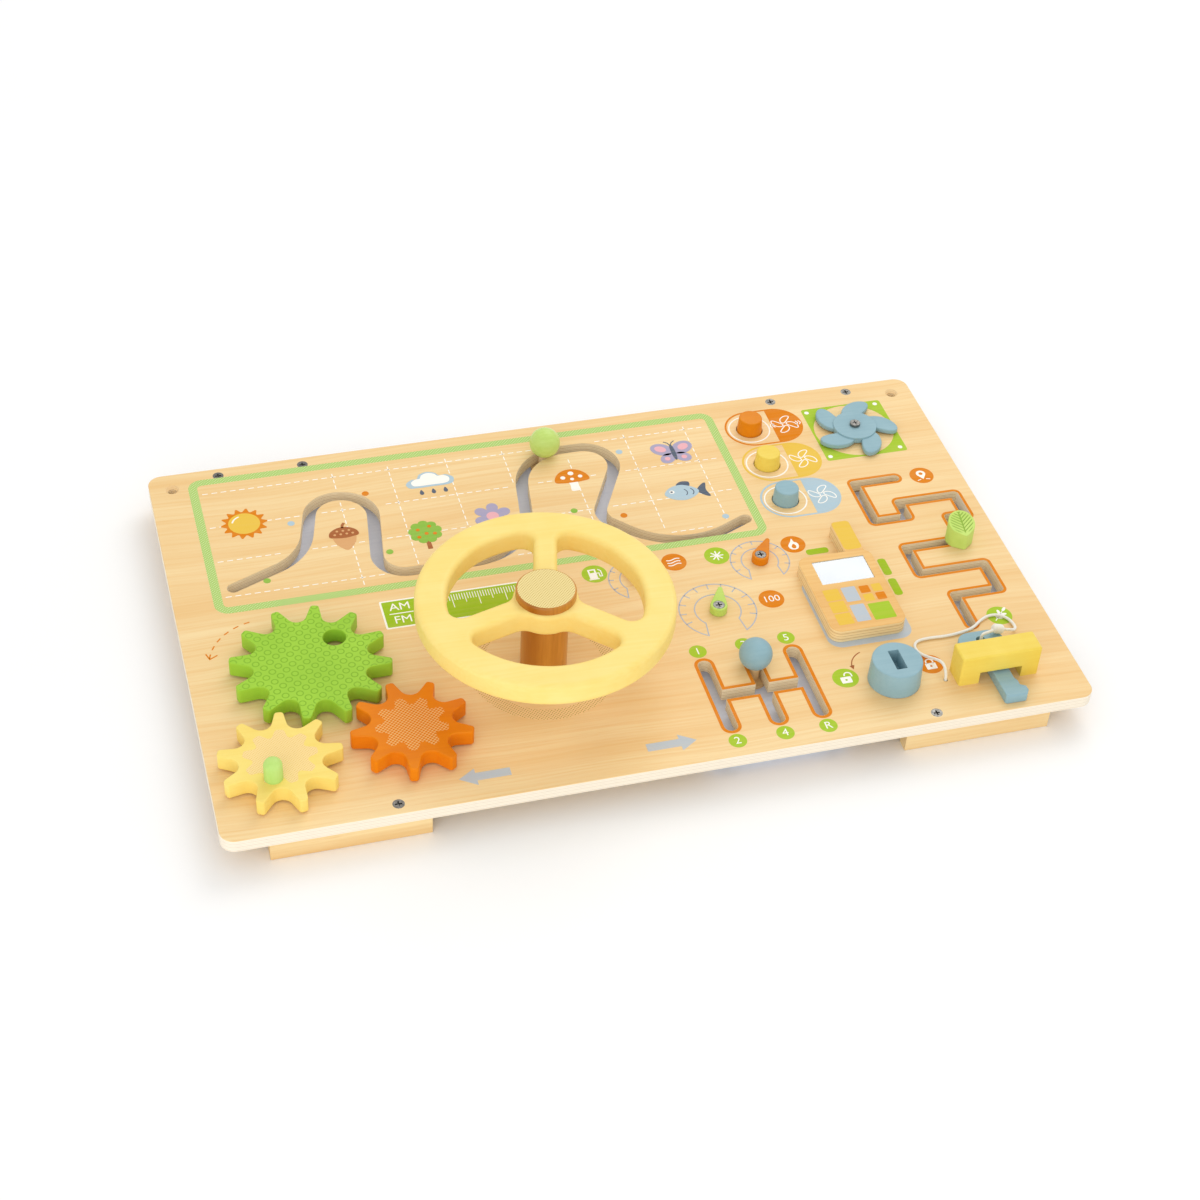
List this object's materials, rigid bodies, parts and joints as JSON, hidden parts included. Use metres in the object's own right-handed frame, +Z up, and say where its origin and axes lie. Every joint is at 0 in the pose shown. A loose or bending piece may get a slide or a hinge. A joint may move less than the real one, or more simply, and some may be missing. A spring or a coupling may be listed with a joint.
{
  "type": "wooden busy board",
  "caption": "Plywood activity board on low feet with a steering wheel, meshed gears, fan, push buttons, marble track, maze, gear gate, ignition lock with key and toy handset.",
  "frame": {"origin": "centre of the footprint on the surface that the feet stand on", "axes": "+X along the panel's length to the right, +Y from the front edge to the back edge, +Z up out of the panel's printed face"},
  "size_m": [0.6, 0.37, 0.0995],
  "materials": {
    "panel_wood": "clear lacquered plywood, printed on top",
    "foot_wood": "clear lacquered plywood",
    "plain_wood": "bare wood",
    "grey_board": "grey painted board",
    "steel": "zinc plated",
    "green_paint": "light green satin paint on wood",
    "blue_paint": "dusty blue satin paint on wood",
    "yellow_paint": "soft yellow satin paint on wood",
    "orange_paint": "orange satin paint on wood",
    "green_gear_wood": "green print on plywood",
    "orange_gear_wood": "orange print on plywood",
    "yellow_gear_wood": "yellow print on plywood",
    "varnished_wood": "brown varnish",
    "cap_wood": "clear lacquered wood with a brown rim",
    "handset_wood": "clear lacquered plywood, printed on top",
    "mirror_sheet": "acrylic mirror",
    "string": "braided cotton"
  },
  "bodies": {
    "board": {"blue_button_spring": "steel", "button_tray": "plain_wood", "column_screw": "steel", "column_washer": "steel", "fan_screw": "steel", "fan_spacer": "plain_wood", "foot_back_left": "foot_wood", "foot_back_right": "foot_wood", "foot_front_left": "foot_wood", "foot_front_right": "foot_wood", "gate_base": "grey_board", "gate_frame": "plain_wood", "gear_spacers": "plain_wood", "handset": "handset_wood", "handset_screen": "mirror_sheet", "key_holder": "yellow_paint", "maze_base": "grey_board", "maze_frame": "plain_wood", "orange_button_spring": "steel", "panel": "panel_wood", "panel_screws": "steel", "pointer_screws": "steel", "retaining_washers": "steel", "steering_column": "varnished_wood", "string": "string", "string_end_knot": "string", "track_base": "grey_board", "track_frame": "plain_wood", "underside_screws": "steel", "wheel_bolt": "steel", "yellow_button_spring": "steel"},
    "wheel": {"steering_wheel": "yellow_paint", "hub_cap": "cap_wood"},
    "green_gear": {"green_gear": "green_gear_wood", "green_gear_bolt": "steel"},
    "orange_gear": {"orange_gear": "orange_gear_wood", "orange_gear_bolt": "steel"},
    "yellow_gear": {"yellow_gear": "yellow_gear_wood", "yellow_gear_bolt": "steel", "gear_peg": "green_paint"},
    "fan": {"fan": "blue_paint", "fan_disc": "blue_paint"},
    "orange_button": {"orange_button": "orange_paint"},
    "yellow_button": {"yellow_button": "yellow_paint"},
    "blue_button": {"blue_button": "blue_paint"},
    "speed_pointer": {"speed_pointer": "green_paint"},
    "fuel_pointer": {"fuel_pointer": "yellow_paint"},
    "heat_pointer": {"heat_pointer": "orange_paint"},
    "ignition": {"ignition_barrel": "blue_paint", "ignition_bolt": "steel"},
    "track_ball": {"track_ball": "green_paint", "track_pin": "plain_wood"},
    "gear_stick": {"gear_knob": "blue_paint", "gear_knob_pin": "plain_wood"},
    "maze_leaf": {"leaf_knob": "green_paint", "leaf_pin": "plain_wood"},
    "key": {"key": "blue_paint", "string_key_knot": "string"}
  },
  "joints": [
    {"name": "wheel_turn", "type": "hinge", "parent": "board", "child": "wheel", "pos_m": [-0.0635, -0.074, 0.076], "axis": [0, 0, 1], "continuous": true},
    {"name": "green_gear_turn", "type": "hinge", "parent": "board", "child": "green_gear", "pos_m": [-0.2183, -0.0472, 0.028], "axis": [0, 0, 1], "continuous": true},
    {"name": "orange_gear_turn", "type": "hinge", "parent": "board", "child": "orange_gear", "pos_m": [-0.16456, -0.12089, 0.028], "axis": [0, 0, 1], "continuous": true},
    {"name": "yellow_gear_turn", "type": "hinge", "parent": "board", "child": "yellow_gear", "pos_m": [-0.25305, -0.13152, 0.028], "axis": [0, 0, 1], "continuous": true},
    {"name": "fan_turn", "type": "hinge", "parent": "board", "child": "fan", "pos_m": [0.2372, 0.1275, 0.028], "axis": [0, 0, 1], "continuous": true},
    {"name": "orange_button_press", "type": "slide", "parent": "board", "child": "orange_button", "axis": [0, 0, -1], "range_m": [0, 0.004], "stiffness_N_per_m": 250, "springref_m": -0.004, "deforming": ["orange_button_spring"]},
    {"name": "yellow_button_press", "type": "slide", "parent": "board", "child": "yellow_button", "axis": [0, 0, -1], "range_m": [0, 0.004], "stiffness_N_per_m": 250, "springref_m": -0.004, "deforming": ["yellow_button_spring"]},
    {"name": "blue_button_press", "type": "slide", "parent": "board", "child": "blue_button", "axis": [0, 0, -1], "range_m": [0, 0.004], "stiffness_N_per_m": 250, "springref_m": -0.004, "deforming": ["blue_button_spring"]},
    {"name": "speed_pointer_turn", "type": "hinge", "parent": "board", "child": "speed_pointer", "pos_m": [0.071, -0.047, 0.028], "axis": [0, 0, 1], "continuous": true},
    {"name": "fuel_pointer_turn", "type": "hinge", "parent": "board", "child": "fuel_pointer", "pos_m": [0.0255, -0.002, 0.028], "axis": [0, 0, 1], "continuous": true},
    {"name": "heat_pointer_turn", "type": "hinge", "parent": "board", "child": "heat_pointer", "pos_m": [0.117, -0.002, 0.028], "axis": [0, 0, 1], "continuous": true},
    {"name": "ignition_turn", "type": "hinge", "parent": "board", "child": "ignition", "pos_m": [0.168, -0.1402, 0.028], "axis": [0, 0, 1], "range_deg": [-90, 90]},
    {"name": "track_ball_run", "type": "hinge", "parent": "board", "child": "track_ball", "pos_m": [0.00937, 0.1128, 0.028], "axis": [0, 0, 1], "range_deg": [-21, 60.5]},
    {"name": "gear_stick_shift", "type": "slide", "parent": "board", "child": "gear_stick", "axis": [0, 1, 0], "range_m": [-0.0517, 0.0077]},
    {"name": "maze_leaf_slide", "type": "slide", "parent": "board", "child": "maze_leaf", "axis": [1, 0, 0], "range_m": [-0.0412, 0.0033]},
    {"name": "key_pull", "type": "slide", "parent": "board", "child": "key", "axis": [0, 1, 0], "range_m": [0, 0.044], "deforming": ["string"]}
  ],
  "couplings": [
    {"joint": "orange_gear_turn", "follows": "green_gear_turn", "ratio": -1.3333},
    {"joint": "yellow_gear_turn", "follows": "green_gear_turn", "ratio": -1.3333}
  ]
}
